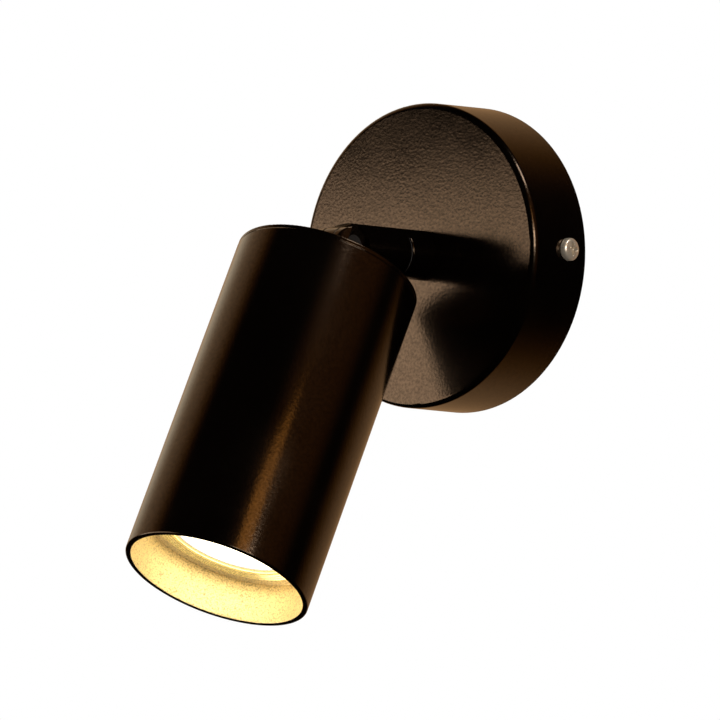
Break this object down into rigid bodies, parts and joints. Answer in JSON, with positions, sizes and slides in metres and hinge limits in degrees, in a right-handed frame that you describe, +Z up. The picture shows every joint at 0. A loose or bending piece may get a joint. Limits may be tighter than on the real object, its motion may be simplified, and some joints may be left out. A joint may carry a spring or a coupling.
{
  "type": "pivoting spotlight wall light",
  "caption": "Wall spotlight: a tubular lamp head on a tilting knuckle and a swivelling arm, on a round canopy.",
  "frame": {"origin": "centre of the canopy's back rim, on the wall plane", "axes": "+Z up, +Y into the wall, -Y out into the room along the arm, +X along the wall"},
  "size_m": [0.1048, 0.1466, 0.1716],
  "materials": {
    "black_powder_coat": "satin",
    "gold_coat": "satin",
    "zinc_steel": "satin",
    "zinc_screw": "satin",
    "nickel_screw": "polished",
    "black_screw": "satin",
    "brass_earth": "satin",
    "terminal_plastic": "matte",
    "nylon_washer": "matte",
    "lead_sleeve": "matte",
    "holder_ceramic": "satin",
    "lamp_base_plastic": "satin",
    "lamp_shell": "satin",
    "lens_diffuser": "satin"
  },
  "bodies": {
    "root": {"canopy": "black_powder_coat", "wall_bracket": "zinc_steel", "canopy_screws": "nickel_screw", "terminal_block": "terminal_plastic", "terminal_screws": "zinc_screw", "block_screw": "zinc_screw", "earth_screw": "brass_earth", "earth_washer": "zinc_steel", "hollow_stem": "zinc_steel", "stem_nut": "zinc_steel", "lock_washer": "zinc_steel", "stem_collar": "black_powder_coat", "seam_washer": "nylon_washer", "stop_pin": "zinc_steel", "swivel_nut": "zinc_steel", "stem_sleeve": "lead_sleeve"},
    "arm": {"arm_tube": "black_powder_coat", "arm_knuckle": "black_powder_coat", "spring_washer": "zinc_steel", "arm_sleeve": "lead_sleeve"},
    "head": {"head_clevis": "black_powder_coat", "pivot_screw": "black_screw", "pivot_nut": "black_screw", "friction_washers": "nylon_washer", "rear_cap": "black_powder_coat", "head_tube": "black_powder_coat", "clevis_washer": "zinc_steel", "clevis_nut": "zinc_steel", "holder_bracket": "zinc_steel", "lampholder": "holder_ceramic", "holder_screws": "zinc_screw", "holder_nuts": "zinc_screw", "lamp_base": "lamp_base_plastic", "lamp_pins": "nickel_screw", "lamp_body": "lamp_shell", "led_board": "lamp_shell", "lamp_lens": "lens_diffuser", "front_ring": "gold_coat"}
  },
  "joints": [
    {"name": "arm_swivel", "type": "hinge", "parent": "root", "child": "arm", "pos_m": [0, -0.0365, 0], "axis": [0, -1, 0], "range_deg": [-165, 165]},
    {"name": "head_tilt", "type": "hinge", "parent": "arm", "child": "head", "pos_m": [0, -0.0639, 0], "axis": [-1, 0, 0], "range_deg": [-27.5, 152.5]}
  ]
}
